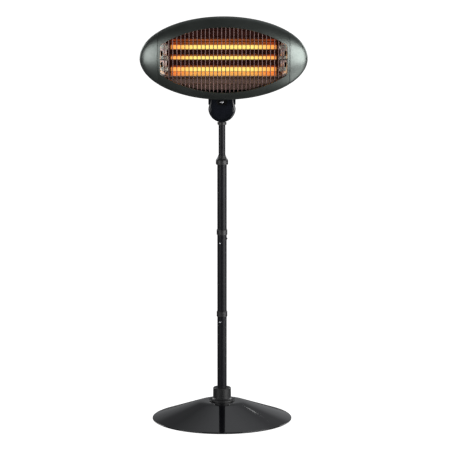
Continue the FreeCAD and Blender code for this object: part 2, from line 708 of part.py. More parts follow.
def bent_wire(half_length, front):
    """A straight wire at the depth front with both ends bent back to the guard's ring."""
    bend, radius = value("guard_bend"), value("wire_radius")
    back = -value("guard_ring_plane") - 0.3
    corner = half_length - bend
    knee = bend * (1 - math.sqrt(0.5))
    points = [
        Vector(0, back, -half_length), Vector(0, front + bend, -half_length),
        Vector(0, front, -corner), Vector(0, front, corner),
        Vector(0, front + bend, half_length), Vector(0, back, half_length)]
    first_bend = Vector(0, front + knee, -half_length + knee)
    last_bend = Vector(0, front + knee, half_length - knee)
    path = Part.Wire([
        Part.LineSegment(points[0], points[1]).toShape(),
        Part.Arc(points[1], first_bend, points[2]).toShape(),
        Part.LineSegment(points[2], points[3]).toShape(),
        Part.Arc(points[3], last_bend, points[4]).toShape(),
        Part.LineSegment(points[4], points[5]).toShape()])
    section = Part.Wire([Part.makeCircle(radius, points[0], Vector(0, -1, 0))])
    return path.makePipeShell([section], True, False)


def guard_bow():
    """The radius of the ring's long sides, and the height of their centre."""
    across, rise = value("guard_half - 6"), value("guard_apex - guard_corner")
    radius = (across ** 2 + rise ** 2) / (2 * rise)
    return radius, value("guard_apex") - radius


def guard_reach_up(across):
    radius, centre = guard_bow()
    return centre + math.sqrt(radius ** 2 - across ** 2)


def guard_reach_across(up):
    radius, centre = guard_bow()
    if abs(up) < value("guard_corner - 10.6"):
        return value("guard_half")
    return math.sqrt(radius ** 2 - (abs(up) - centre) ** 2)


def guard_screw_place(right, top, depth):
    """A point on the axis of one of the four screws that hold the guard's ring."""
    across = 10 * value("wire_pitch")
    return (right * across, depth, top * guard_reach_up(across))


def wire_guard(place):
    """Upright wires and three cross wires, welded to a flat ring behind the opening."""
    ring_back = "guard_ring_plane"
    grow = "guard_ring_width / 2"
    plates = []
    for name, sign, more in (("Outer", "+", 0), ("Inner", "-", 2)):
        sizes = [f"{alias} {sign} {grow}" for alias in ("guard_half", "guard_apex", "guard_corner")]
        plates.append(padded(f"GuardRing{name}", "XZ_Plane", barrel(*sizes),
                             f"guard_ring_thick + {more}", offset=f"{ring_back} - {more / 2}"))
    doc.recompute()
    pieces = []
    front = -value("guard_plane")
    for index in range(WIRE_COUNT):
        x = (index - (WIRE_COUNT - 1) / 2) * value("wire_pitch")
        wire = bent_wire(guard_reach_up(x), front)
        wire.translate(Vector(x, 0, 0))
        pieces.append(wire)
    for index in (-1, 0, 1):
        z = index * value("cross_wire_pitch")
        wire = bent_wire(guard_reach_across(z), front + value("cross_wire_behind"))
        wire.rotate(Vector(0, 0, 0), Vector(0, 1, 0), 90)
        wire.translate(Vector(0, 0, z))
        pieces.append(wire)
    guard = doc.addObject("Part::Feature", "Guard")
    guard.Shape = plates[0].Shape.cut(plates[1].Shape).multiFuse(pieces)
    node("wire_guard", guard, place)

    screws = []
    for right in (-1, 1):
        for top in (-1, 1):
            behind = guard_screw_place(right, top, 0.05 - value("guard_ring_plane"))
            screws.append(rod(f"GuardScrew{right}{top}", "guard_screw_radius", 5,
                              along((0, 1, 0), behind)))
    node("guard_screws", group("GuardScrews", screws), place)


def trough_line(shift, inset=0):
    """The trough's section in the YZ plane, from its lower flange to its upper lip."""
    front, back = f"{shift} - reflector_front", f"{shift} + reflector_back - {inset}"
    return [(front, f"-(lower_lip - {inset})"), (back, f"-(lower_foot - {inset})"),
            (back, f"upper_foot - {inset}"), (front, f"upper_lip - {inset} - 2")]


def trough(name, shift, length):
    """A sheet bent to a trough that opens to the front, with a flange along its lower edge."""
    line = [(f"{shift} - reflector_front", "-(reflector_half)")] + trough_line(shift)
    behind = [(f"{depth} + reflector_thick", up) for depth, up in reversed(line)]
    return padded(name, "YZ_Plane", line + behind, length, both_ways=True)


def reflector(place):
    """The trough behind the tubes, its shield, and the slanted plate at each end."""
    limit = ellipsoid("ReflectorLimit", "head_half_width - 6", "front_bulge - 6",
                      "head_half_height - 6")
    sheet_metal = trough("Trough", "0", "2 * reflector_length")
    holes = [rod(f"FlangeHole{right}", "guard_screw_radius + 0.4", 12,
                 along((0, 1, 0), guard_screw_place(right, -1, -24))) for right in (-1, 1)]
    sheet = common("ReflectorSheet", sheet_metal, limit)
    node("reflector", cut("Reflector", sheet, *holes), place)
    limit = ellipsoid("ShieldLimit", "head_half_width - 7", "rear_bulge - 7",
                      "head_half_height - 7")
    shield = trough("ShieldTrough", "shield_gap", "2 * reflector_length - 16")
    node("heat_shield", common("Shield", shield, limit), place)

    run = value("end_plate_front_at - end_plate_back_at")
    rise = value("end_plate_back + end_plate_front")
    slant = math.degrees(math.atan2(run, rise))
    middle_x = value("(end_plate_back_at + end_plate_front_at) / 2")
    middle_y = value("(end_plate_back - end_plate_front) / 2")
    half_thick = value("end_plate_thick / 2")
    for label, side in (("left", -1), ("right", 1)):
        slab = block(f"EndSlab_{label}", (-half_thick, -45, -90), (half_thick, 45, 90))
        turn = Rotation(Vector(0, 0, 1), slant * side)
        slab.Placement = Placement(Vector(middle_x * side, middle_y, 0), turn) * slab.Placement
        inner = padded(f"EndArea_{label}", "YZ_Plane", trough_line(0, 1.5), 460, both_ways=True)
        limit = ellipsoid(f"EndLimit_{label}", "head_half_width - 8", "front_bulge - 8",
                          "head_half_height - 8")
        area = common(f"EndInside_{label}", inner, limit)
        tools = []
        for index in (-1, 0, 1):
            start = (side * 145, value("element_back"), index * value("element_pitch"))
            tools.append(rod(f"EndHole_{label}{index}", "ceramic_radius + 0.3", 60,
                             along((side, 0, 0), start)))
        for index in (-1, 1):
            low, high = sorted((index * WINDOW_LOW, index * WINDOW_HIGH))
            tools.append(block(f"Window_{label}{index}", (side * 172 - 12, -14, low),
                               (side * 172 + 12, -5, high)))
        plate = common(f"End_{label}", slab, area)
        node(f"{label}_reflector_end", cut(f"EndPlate_{label}", plate, *tools), place)


def elements(place):
    """Three quartz tubes, each with a coil inside and a ceramic end at both ends."""
    coils, ceramics, holders = [], [], []
    back = value("element_back")
    half, reach = value("element_half"), value("coil_half")
    for label, index in (("bottom", -1), ("middle", 0), ("top", 1)):
        z = index * value("element_pitch")
        tube = ring(f"Quartz_{label}", "element_radius - element_wall", "element_radius",
                    -half, half)
        tube.Placement = along((1, 0, 0), (0, back, z))
        node(f"{label}_quartz_tube", group(f"Quartz_{label}_placed", [tube]), place)
        coils.append(rod(f"Coil_{label}", "coil_radius", "2 * coil_half",
                         along((1, 0, 0), (-reach, back, z))))
        for side in (-1, 1):
            start = (side * (half + 0.1), back, z)
            ceramics.append(rod(f"Ceramic_{label}{side}", "ceramic_radius",
                                "ceramic_end - element_half - 0.1", along((side, 0, 0), start)))
    node("heating_coils", group("Coils", coils), place)
    node("tube_ceramics", group("Ceramics", ceramics), place)
    for side in (-1, 1):
        low, high = sorted((side * value("ceramic_end + 0.2"), side * value("ceramic_end + 1.8")))
        holders.append(block(f"Holder{side}", (low, -7, -46), (high, 9, 46)))
    node("tube_holders", group("Holders", holders), place)


def electrics(place):
    terminals = block("Terminals", (-24, 34, -9), (24, 47, 9))
    node("terminal_block", group("TerminalsPlaced", [terminals]), place)
    tip_switch = block("TipSwitch", (44, 34, -28), (66, 46, -6))
    node("tip_over_switch", group("TipSwitchPlaced", [tip_switch]), place)
    leads = []
    for index in (-1, 1):
        leads.append(rod(f"LeadLeft{index}", 1.4, 60, along((-1, 0, 0), (-26, 40, index * 4))))
        leads.append(rod(f"LeadRight{index}", 1.4, 16,
                         along((1, 0, 0), (26, 40, index * 2 - 10))))
    node("heater_leads", group("Leads", leads), place)

    x, z = GLAND_AT
    gland = turned("Gland", [
        (4, -6), (8, -6), (8, 4.2), (12, 4.2), (12, 9), (9.5, 10), (9.5, 17), (6.5, 20), (4, 20)])
    gland.Placement = along((0, 1, 0), (x, rear_surface(x, z), z))
    node("cable_gland", group("GlandPlaced", [gland]), place)


def switch(place):
    """A housing on the rear shell with two rockers that each turn on a round belly."""
    across, up = value("switch_across"), value("switch_up")
    wide, high = "switch_half_width", "switch_half_height"
    round_edge = 4
    flat, rise = f"({wide} - {round_edge})", f"({high} - {round_edge})"
    shell = padded("SwitchBlank", "XZ_Plane", [
        (f"-{flat}", f"-({high})", round_edge), (flat, f"-({high})"),
        (wide, f"-{rise}", round_edge), (wide, rise), (flat, high, round_edge),
        (f"-{flat}", high), (f"-({wide})", rise, round_edge), (f"-({wide})", f"-{rise}"),
    ], 30, offset="-(switch_back)")
    doc.recompute()
    spread = value("rocker_half_width") + 1.2
    gap_x, gap_z = value("rocker_half_width") + 0.4, value("rocker_half_height") + 0.4
    for index in (-1, 1):
        low, far = index * spread - gap_x, index * spread + gap_x
        well = [(low, -gap_z), (far, -gap_z), (far, gap_z), (low, gap_z)]
        add_pocket(shell, f"RockerWell{index + 1}", "XZ_Plane",
                   lambda sketch: outline(sketch, well), 14, offset="-(switch_back)",
                   backwards=True)
    shell.Placement.Base = Vector(across, 0, up)
    clear = ellipsoid("SwitchClear", "head_half_width + 0.3", "rear_bulge + 0.3",
                      "head_half_height + 0.3")
    node("switch_housing", cut("SwitchHousing", shell, clear), place)

    pivot = value("switch_back") - 5
    top = value("rocker_half_height")
    belly = 4
    belly_end = math.sqrt(belly ** 2 - 1)
    for label, index in (("left", -1), ("right", 1)):
        rocker = padded(f"Rocker_{label}", "YZ_Plane", [
            (pivot - 1, -belly_end, belly), (pivot + 0.5, -top), (pivot + 3.4, -top),
            (pivot + 4.2, 0), (pivot + 6.4, top - 1.2), (pivot + 2.5, top), (pivot - 1, belly_end),
        ], "2 * rocker_half_width", both_ways=True)
        rocker.Placement.Base = Vector(across + index * spread, 0, up)
        node(f"{label}_rocker", group(f"Rocker_{label}_placed", [rocker]), place)


def head():
    centre = Vector(value("head_aside"), -value("head_forward"), value("head_height"))
    place = Placement(centre, Rotation(Vector(1, 0, 0), value("rest_tilt")))
    casing(place)
    hinge_lug(place)
    wire_guard(place)
    reflector(place)
    elements(place)
    electrics(place)
    switch(place)


for build in (base, socket, pole, spring_buttons, collar, sliding_section, bracket, hinge, head):
    build()
doc.recompute()

faults = [thing.Name for thing in doc.Objects if {"Invalid", "Error"} & set(thing.State)]
for thing in nodes:
    shape = thing.Shape
    if shape.isNull() or not shape.isValid() or not shape.Solids:
        faults.append(f"{thing.Label}: bad shape")
if faults:
    raise RuntimeError("failed: " + ", ".join(faults))
os.makedirs("parts", exist_ok=True)
for thing in nodes:
    thing.Shape.exportStep(f"parts/{thing.Label}.step")
print(f"{len(nodes)} sub-parts written")
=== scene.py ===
"""Looks of the electric heater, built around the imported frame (metres, +Z up, front -Y).

The shapes are worked out in millimetres, like the design that they follow, and turned into
metres when their meshes are made.
"""
import json
import math

import bmesh
import bpy
from mathutils import Matrix, Vector


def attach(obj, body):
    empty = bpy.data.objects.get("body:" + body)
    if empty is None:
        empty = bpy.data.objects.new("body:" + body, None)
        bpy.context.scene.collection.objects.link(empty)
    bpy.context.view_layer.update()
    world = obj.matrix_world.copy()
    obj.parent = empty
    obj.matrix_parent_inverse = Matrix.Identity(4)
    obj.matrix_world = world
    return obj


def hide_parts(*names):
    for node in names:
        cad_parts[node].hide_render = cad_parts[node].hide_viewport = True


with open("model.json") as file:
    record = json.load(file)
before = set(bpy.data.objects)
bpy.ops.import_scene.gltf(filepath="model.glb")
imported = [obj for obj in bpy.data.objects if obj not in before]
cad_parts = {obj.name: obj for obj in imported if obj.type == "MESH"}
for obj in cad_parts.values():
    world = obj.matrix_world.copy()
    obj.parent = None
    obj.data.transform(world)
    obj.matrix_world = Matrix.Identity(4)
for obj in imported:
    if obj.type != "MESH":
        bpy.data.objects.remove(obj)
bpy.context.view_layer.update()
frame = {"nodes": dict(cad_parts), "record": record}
NODES = frame["nodes"]

MM = 0.001
HEAD_ASIDE, HEAD_FORWARD, HEAD_HEIGHT, HEAD_TILT = 4.75, 64, 1054, math.radians(5)


# ---- camera -----------------------------------------------------------------------------
CAMERA_DISTANCE = 8.0
CAMERA_HEIGHT = 1.867
CAMERA_LENS = 226.8
AIM = Vector((0.0086, 0.0, 0.569))


def camera():
    """A long lens far in front of the heater, a little above it."""
    data = bpy.data.cameras.new("camera")
    data.lens = CAMERA_LENS
    data.sensor_width = 36.0
    data.clip_end = 100.0
    thing = bpy.data.objects.new("camera", data)
    bpy.context.scene.collection.objects.link(thing)
    thing.location = (AIM.x, AIM.y - CAMERA_DISTANCE, CAMERA_HEIGHT)
    thing.rotation_euler = (AIM - thing.location).to_track_quat("-Z", "Y").to_euler()
    bpy.context.scene.camera = thing


# ---- node helpers -----------------------------------------------------------------------
NOISE_MIDDLE = (0.3, 0.7)


def new_material(name):
    made = bpy.data.materials.new(name)
    made.use_nodes = True
    tree = made.node_tree
    return made, tree, tree.nodes["Principled BSDF"]


def coordinates(tree, kind="Object"):
    """X, Y and Z of the object's own coordinates, or of another kind, by name."""
    place = tree.nodes.new("ShaderNodeTexCoord")
    split = tree.nodes.new("ShaderNodeSeparateXYZ")
    tree.links.new(place.outputs[kind], split.inputs["Vector"])
    return split.outputs


def noise(tree, scale, detail=4.0, stretch=(1, 1, 1)):
    """A noise in the object's own coordinates, with features about 1/scale metres wide."""
    place = tree.nodes.new("ShaderNodeTexCoord")
    mapping = tree.nodes.new("ShaderNodeMapping")
    mapping.inputs["Scale"].default_value = stretch
    made = tree.nodes.new("ShaderNodeTexNoise")
    made.inputs["Scale"].default_value = scale
    made.inputs["Detail"].default_value = detail
    tree.links.new(place.outputs["Object"], mapping.inputs["Vector"])
    tree.links.new(mapping.outputs["Vector"], made.inputs["Vector"])
    return made.outputs["Fac"]


def ramp(tree, source, taken, given):
    """Maps a range onto another, held at both ends."""
    made = tree.nodes.new("ShaderNodeMapRange")
    for key, number in zip(("From Min", "From Max", "To Min", "To Max"), (*taken, *given)):
        made.inputs[key].default_value = number
    tree.links.new(source, made.inputs["Value"])
    return made.outputs["Result"]


def spread(tree, source, low, high):
    """Maps a noise's middle range onto low..high."""
    return ramp(tree, source, NOISE_MIDDLE, (low, high))


def arithmetic(tree, operation, *terms):
    """A Math node whose terms are sockets or plain numbers."""
    made = tree.nodes.new("ShaderNodeMath")
    made.operation = operation
    for socket, term in zip(made.inputs, terms):
        if isinstance(term, (int, float)):
            socket.default_value = term
        else:
            tree.links.new(term, socket)
    return made.outputs[0]


def colour_mix(tree, factor, first, second):
    """A colour between two, each given as three numbers or as a socket."""
    made = tree.nodes.new("ShaderNodeMix")
    made.data_type = "RGBA"
    for key, colour in (("A", first), ("B", second)):
        if isinstance(colour, tuple):
            made.inputs[key].default_value = (*colour, 1)
        else:
            tree.links.new(colour, made.inputs[key])
    tree.links.new(factor, made.inputs["Factor"])
    return made.outputs["Result"]


def two_tone(tree, source, dark, light):
    """A colour that drifts between two with a noise."""
    return colour_mix(tree, spread(tree, source, 0, 1), dark, light)


def bump(tree, shader, source, distance, strength=0.3):
    made = tree.nodes.new("ShaderNodeBump")
    made.inputs["Strength"].default_value = strength
    made.inputs["Distance"].default_value = distance
    tree.links.new(source, made.inputs["Height"])
    tree.links.new(made.outputs["Normal"], shader.inputs["Normal"])


# ---- materials --------------------------------------------------------------------------
FINISHES = {
    "black_gloss": {"dark": (0.002, 0.002, 0.003), "light": (0.004, 0.004, 0.005),
                    "rough": (0.05, 0.09), "coat": 0.4, "coat_roughness": 0.03, "depth": 4e-6},
    "black_satin": {"dark": (0.006, 0.006, 0.008), "light": (0.009, 0.009, 0.012),
                    "rough": (0.36, 0.44), "specular": 0.2, "depth": 8e-6},
    "black_plastic": {"dark": (0.009, 0.009, 0.01), "light": (0.016, 0.016, 0.017),
                      "rough": (0.35, 0.5)},
    "shell_grey": {"dark": (0.11, 0.125, 0.115), "light": (0.15, 0.165, 0.155),
                   "rough": (0.3, 0.4), "metallic": 0.9, "grain": 2500},
    "cap_grey": {"dark": (0.13, 0.148, 0.138), "light": (0.18, 0.198, 0.188),
                 "rough": (0.3, 0.4), "metallic": 0.9, "grain": 1500, "stretch": (1, 1, 0.06)},
    "rubber": {"dark": (0.01, 0.01, 0.01), "light": (0.02, 0.02, 0.02), "rough": (0.7, 0.9)},
    "ballast": {"dark": (0.25, 0.24, 0.22), "light": (0.4, 0.39, 0.36), "rough": (0.85, 0.98),
                "grain": 300, "patch": 60, "depth": 0.0006},
    "steel": {"dark": (0.45, 0.46, 0.48), "light": (0.6, 0.61, 0.63), "rough": (0.22, 0.38),
              "metallic": 1.0},
    "chrome_wire": {"dark": (0.07, 0.045, 0.045), "light": (0.12, 0.08, 0.075),
                    "rough": (0.2, 0.3), "metallic": 1.0},
    "end_sheet": {"dark": (0.7, 0.88, 0.94), "light": (0.82, 0.97, 1.0), "rough": (0.12, 0.22),
                  "metallic": 0.6, "coat": 0.5, "grain": 400},
    "moulding": {"dark": (0.003, 0.004, 0.006), "light": (0.008, 0.009, 0.013),
                 "rough": (0.12, 0.2), "patch": 40, "depth": 1e-5},
    "button_metal": {"dark": (0.35, 0.36, 0.38), "light": (0.5, 0.51, 0.53),
                     "rough": (0.2, 0.3), "metallic": 1.0, "depth": 8e-6},
    # recess: near-black, painted shade for the bracket cover's oval recess
    "recess": {"dark": (0.001, 0.001, 0.0015), "light": (0.002, 0.002, 0.0025),
               "rough": (0.6, 0.8), "specular": 0.1},
    "shield_sheet": {"dark": (0.4, 0.4, 0.4), "light": (0.5, 0.5, 0.5), "rough": (0.35, 0.5),
                     "metallic": 1.0},
    "ceramic": {"dark": (0.62, 0.55, 0.45), "light": (0.8, 0.74, 0.64), "rough": (0.5, 0.7)},
    "lead_sleeve": {"dark": (0.6, 0.56, 0.48), "light": (0.75, 0.71, 0.64), "rough": (0.7, 0.9)},
}


def finish_of(name, dark, light, rough, metallic=0.0, coat=0.0, coat_roughness=0.05, grain=900.0,
              patch=18.0, depth=0.00004, specular=0.5, stretch=(1, 1, 1)):
    """A coated or moulded surface: patches of colour, and gloss and relief that follow a grain."""
    made, tree, shader = new_material(name)
    patches = noise(tree, patch, 3.0)
    fine = noise(tree, grain, 3.0, stretch)
    tree.links.new(two_tone(tree, patches, dark, light), shader.inputs["Base Color"])
    tree.links.new(spread(tree, fine, *rough), shader.inputs["Roughness"])
    shader.inputs["Metallic"].default_value = metallic
    shader.inputs["Coat Weight"].default_value = coat
    shader.inputs["Coat Roughness"].default_value = coat_roughness
    shader.inputs["Specular IOR Level"].default_value = specular
    bump(tree, shader, fine, depth)
    return made


# The glow's colours, and the distances from the head's middle, in metres, over which it turns
# orange and then ends.
GLOW_MIDDLE, GLOW_END = (1.0, 0.78, 0.21), (1.0, 0.38, 0.08)
GLOW_FADE, GLOW_EDGE = (0.085, 0.143), (0.143, 0.15)
# The quartz's strength is a painted glow on glass that is no lamp; the coil's strength is its own
# light.
PAINTED_QUARTZ_GLOW, GLOW_OF_COIL, GLOW_UNEVEN = 0.26, 0.7, 0.1


def along_tubes(tree, taken, given):
    """A number that changes with the distance from the head's middle, along the tubes."""
    shifted = arithmetic(tree, "SUBTRACT", coordinates(tree)["X"], HEAD_ASIDE * MM)
    return ramp(tree, arithmetic(tree, "ABSOLUTE", shifted), taken, given)


def glowing(tree, shader, strength):
    """Yellow light in the middle of a tube, orange towards its ends, none past the coil."""
    colour = colour_mix(tree, along_tubes(tree, GLOW_FADE, (0, 1)), GLOW_MIDDLE, GLOW_END)
    tree.links.new(colour, shader.inputs["Emission Color"])
    uneven = spread(tree, noise(tree, 260, 2.0, (1, 0.2, 0.2)),
                    strength * (1 - GLOW_UNEVEN), strength * (1 + GLOW_UNEVEN))
    flicker = arithmetic(tree, "MULTIPLY", along_tubes(tree, GLOW_EDGE, (1, 0)), uneven)
    tree.links.new(flicker, shader.inputs["Emission Strength"])


def quartz():
    """Clear quartz with a painted glow of its own, standing in for the light of the coil inside."""
    made, tree, shader = new_material("quartz")
    drawn = noise(tree, 60, 2.0, (0.2, 1, 1))
    tree.links.new(two_tone(tree, drawn, (1.0, 0.9, 0.78), (1.0, 0.96, 0.9)),
                   shader.inputs["Base Color"])
    tree.links.new(spread(tree, drawn, 0.03, 0.12), shader.inputs["Roughness"])
    shader.inputs["Transmission Weight"].default_value = 1.0
    shader.inputs["IOR"].default_value = 1.45
    # Painted glow: the glass itself shines with the coil's colours.
    glowing(tree, shader, PAINTED_QUARTZ_GLOW)
    return made


def glow():
    """Coil wire: yellow in the middle, orange towards its ends."""
    made, tree, shader = new_material("glow")
    glowing(tree, shader, GLOW_OF_COIL)
    shader.inputs["Base Color"].default_value = (0.2, 0.1, 0.05, 1)
    shader.inputs["Roughness"].default_value = 0.5
    return made


# The reflector's two colours, painted glow in place of its plain metal: dark maroon above the
# lowest tube and a lighter warm tone below, and the heights over which they change, from the head's
# middle.
PAINTED_GLOW_ABOVE, PAINTED_GLOW_BELOW, PAINTED_GLOW_HEIGHT = (0.27, 0.085, 0.065), (0.72, 0.46, 0.36), (-44, -36)
PAINTED_GLOW_PATCHES = 0.55


def glow_painted_sheet():
    """Polished sheet painted with a dark maroon glow above the lowest tube and a lighter warm glow
    below it.
    """
    made, tree, shader = new_material("mirror_sheet")
    # Painted glow: patches of darker maroon above, changing with height to the lighter warm tone
    # below.
    heights = [(HEAD_HEIGHT + height) * MM for height in PAINTED_GLOW_HEIGHT]
    darker = tuple(PAINTED_GLOW_PATCHES * part for part in PAINTED_GLOW_ABOVE)
    above = two_tone(tree, noise(tree, 25), darker, PAINTED_GLOW_ABOVE)
    factor = ramp(tree, coordinates(tree)["Z"], heights, (0, 1))
    tree.links.new(colour_mix(tree, factor, PAINTED_GLOW_BELOW, above), shader.inputs["Base Color"])
    rolled = noise(tree, 200, 3.0, (0.03, 1, 1))
    tree.links.new(spread(tree, rolled, 0.05, 0.12), shader.inputs["Roughness"])
    shader.inputs["Metallic"].default_value = 0.93
    bump(tree, shader, rolled, 2e-6)
    return made


def make_materials():
    """Every material by name: one for each slot, and a few looks within a slot."""
    made = {name: finish_of(name, **finish) for name, finish in FINISHES.items()}
    made.update(mirror_sheet=glow_painted_sheet(), quartz=quartz(), glow=glow())
    return made


def look_of(name, slot):
    """The slot's finish, or the clean metal of the reflector's ends and the snap buttons."""
    if name.endswith("reflector_end"):
        return "end_sheet"
    return "button_metal" if name.endswith("_button") else slot


def dress_cad_nodes(materials):
    """Gives each CAD node the material of its slot."""
    slot_of = {entry["node"]: entry["material_slot"] for entry in frame["record"]["subparts"]}
    for name, thing in NODES.items():
        thing.data.materials.clear()
        thing.data.materials.append(materials[look_of(name, slot_of[name])])


# ---- stage ------------------------------------------------------------------------------
# The floor and the backdrop are white to the camera. What reflections see is a darker studio:
# a wall behind the heater in bands of brightness by height, brighter to the right, and a faint
# light in front and above. A place in it is a direction of length 1: its Y says how far behind
# it is, its X how far to the right and its Z how high. A band has its Z and its brightness.
FLOOR_HALF, FLOOR_GREY, FLOOR_SHOWN, BACKDROP_SHOWN = 30.0, 0.1, 1.1, 1.2
WALL_FROM = (0.0, 0.4)
WALL_BANDS = ((0.0, 0.21), (0.3, 0.2), (0.42, 0.12), (0.6, 0.16), (0.72, 0.28), (0.8, 0.42),
              (0.95, 0.1))
WALL_SIDES, WALL_SIDES_FROM = (0.8, 1.35), (-0.2, 0.2)
FRONT, ABOVE, ABOVE_FROM = 0.02, 0.1, (0.6, 0.9)


def pale_floor():
    """A floor that is white to the camera and lights the heater only faintly."""
    mesh = bpy.data.meshes.new("floor")
    corners = [(x * FLOOR_HALF, y * FLOOR_HALF, 0) for x, y in ((-1, -1), (1, -1), (1, 1), (-1, 1))]
    mesh.from_pydata(corners, [], [(0, 1, 2, 3)])
    floor = bpy.data.objects.new("floor", mesh)
    bpy.context.scene.collection.objects.link(floor)
    made, tree, shader = new_material("floor")
    shader.inputs["Base Color"].default_value = (FLOOR_GREY, FLOOR_GREY, FLOOR_GREY, 1)
    shader.inputs["Roughness"].default_value = 0.9
    shader.inputs["Emission Color"].default_value = (1, 1, 1, 1)
    rays = tree.nodes.new("ShaderNodeLightPath")
    shown = arithmetic(tree, "MULTIPLY", rays.outputs["Is Camera Ray"], FLOOR_SHOWN)
    tree.links.new(shown, shader.inputs["Emission Strength"])
    mesh.materials.append(made)


def studio_light(tree):
    """How bright the studio is in each direction."""
    toward = coordinates(tree, "Generated")
    behind = ramp(tree, toward["Y"], WALL_FROM, (0, 1))
    sides = ramp(tree, toward["X"], WALL_SIDES_FROM, WALL_SIDES)
    above = ramp(tree, toward["Z"], ABOVE_FROM, (FRONT, ABOVE))
    bands = tree.nodes.new("ShaderNodeValToRGB")
    stops = bands.color_ramp.elements
    while len(stops) < len(WALL_BANDS):
        stops.new(0.5)
    for stop, (height, bright) in zip(stops, WALL_BANDS):
        stop.position = height
        stop.color = (bright, bright, bright, 1)
    tree.links.new(toward["Z"], bands.inputs["Fac"])
    wall = arithmetic(tree, "MULTIPLY", arithmetic(tree, "MULTIPLY", behind, sides),
                      bands.outputs["Color"])
    return arithmetic(tree, "ADD", wall, above)


def studio():
    """The world: white to the camera, the studio's light to everything else."""
    world = bpy.data.worlds.new("studio")
    world.use_nodes = True
    tree = world.node_tree
    light = tree.nodes["Background"]
    light.inputs["Color"].default_value = (0.95, 0.97, 1, 1)
    tree.links.new(studio_light(tree), light.inputs["Strength"])
    backdrop = tree.nodes.new("ShaderNodeBackground")
    backdrop.inputs["Color"].default_value = (1, 1, 1, 1)
    backdrop.inputs["Strength"].default_value = BACKDROP_SHOWN
    rays = tree.nodes.new("ShaderNodeLightPath")
    mix = tree.nodes.new("ShaderNodeMixShader")
    tree.links.new(rays.outputs["Is Camera Ray"], mix.inputs["Fac"])
    tree.links.new(light.outputs["Background"], mix.inputs[1])
    tree.links.new(backdrop.outputs["Background"], mix.inputs[2])
    tree.links.new(mix.outputs["Shader"], tree.nodes["World Output"].inputs["Surface"])
    bpy.context.scene.world = world
    bpy.context.scene.view_settings.view_transform = "Standard"


def area(name, at, towards, wide, high, power):
    """A rectangular lamp that faces a point."""
    data = bpy.data.lights.new(name, "AREA")
    data.shape = "RECTANGLE"
    data.size, data.size_y = wide, high
    data.energy = power
    thing = bpy.data.objects.new(name, data)
    bpy.context.scene.collection.objects.link(thing)
    thing.location = at
    thing.rotation_euler = (Vector(towards) - Vector(at)).to_track_quat("-Z", "Y").to_euler()


def lights():
    """Soft boxes at both sides, a lamp on the floor, two behind, and a spark on the base."""
    head = (0, 0, 0.95)
    area("softbox_left", (-2.2, -1.9, 1.05), head, 2.0, 2.0, 40)
    area("softbox_right", (2.4, -1.6, 0.75), head, 2.6, 2.6, 135)
    area("bounce_right", (1.4, -0.35, 0.02), (1.4, -0.35, 1), 1.3, 1.3, 9)
    area("back_left", (-2.4, 2.2, 1.5), head, 1.6, 1.6, 35)
    area("back_right", (2.4, 2.2, 1.5), head, 1.6, 1.6, 35)
    area("glint", (1.17, 4.06, 2.65), (0.1, -0.07, 0.03), 0.06, 0.06, 0.03)


# ---- building helpers -------------------------------------------------------------------
HEAD_PLACE = (Matrix.Translation(Vector((HEAD_ASIDE, -HEAD_FORWARD, HEAD_HEIGHT)) * MM)
              @ Matrix.Rotation(HEAD_TILT, 4, "X"))
SHARP_FROM = math.radians(35)


def finish_mesh(name, mesh, body, slot, nodes, place=None, look=None):
    """Smooth-shades a mesh, makes it a piece with the material of its look or slot, parents it to
    its body and hides the CAD nodes that it replaces.
    """
    if place is not None:
        mesh.transform(place)
    shape = bmesh.new()
    shape.from_mesh(mesh)
    bmesh.ops.recalc_face_normals(shape, faces=shape.faces)
    shape.to_mesh(mesh)
    shape.free()
    mesh.polygons.foreach_set("use_smooth", [True] * len(mesh.polygons))
    mesh.set_sharp_from_angle(angle=SHARP_FROM)
    mesh.materials.append(MATERIALS[look or slot])
    piece = bpy.data.objects.new(name, mesh)
    bpy.context.scene.collection.objects.link(piece)
    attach(piece, body)
    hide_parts(*nodes)
    return piece


def rows_to_mesh(name, rows, wrap_rows, wrap_points, poles=()):
    """A mesh in millimetres of equally long rows of points; a pole closes an end with a fan."""
    vertices = [Vector(point) * MM for row in rows for point in row]
    count, width = len(rows), len(rows[0])
    faces = []
    for row in range(count if wrap_rows else count - 1):
        following = (row + 1) % count
        for point in range(width if wrap_points else width - 1):
            beside = (point + 1) % width
            faces.append((row * width + point, row * width + beside,
                          following * width + beside, following * width + point))
    for row, pole in poles:
        vertices.append(Vector(pole) * MM)
        row %= count
        for point in range(width):
            faces.append((row * width + point, row * width + (point + 1) % width,
                          len(vertices) - 1))
    mesh = bpy.data.meshes.new(name)
    mesh.from_pydata(vertices, [], faces)
    return mesh


def lathe_rows(profile, steps, axis="Z"):
    """Rings about Z, or about X, from (radius, height) points."""
    rows = []
    for radius, height in profile:
        ring = []
        for step in range(steps):
            turn = 2 * math.pi * step / steps
            first, second = radius * math.cos(turn), radius * math.sin(turn)
            ring.append((first, second, height) if axis == "Z" else (height, first, second))
        rows.append(ring)
    return rows


def rounded(points, steps=5):
    """A (radius, height) profile whose corners (radius, height, rounding) are rounded off."""
    made = []
    for index, corner in enumerate(points):
        here = Vector(corner[:2])
        if len(corner) == 2:
            made.append(tuple(here))
            continue
        before = Vector(points[index - 1][:2]) - here
        after = Vector(points[(index + 1) % len(points)][:2]) - here
        reach = min(corner[2], before.length / 2.01, after.length / 2.01)
        start, end = here + before.normalized() * reach, here + after.normalized() * reach
        for step in range(steps + 1):
            part = step / steps
            made.append(tuple(start.lerp(here, part).lerp(here.lerp(end, part), part)))
    return made


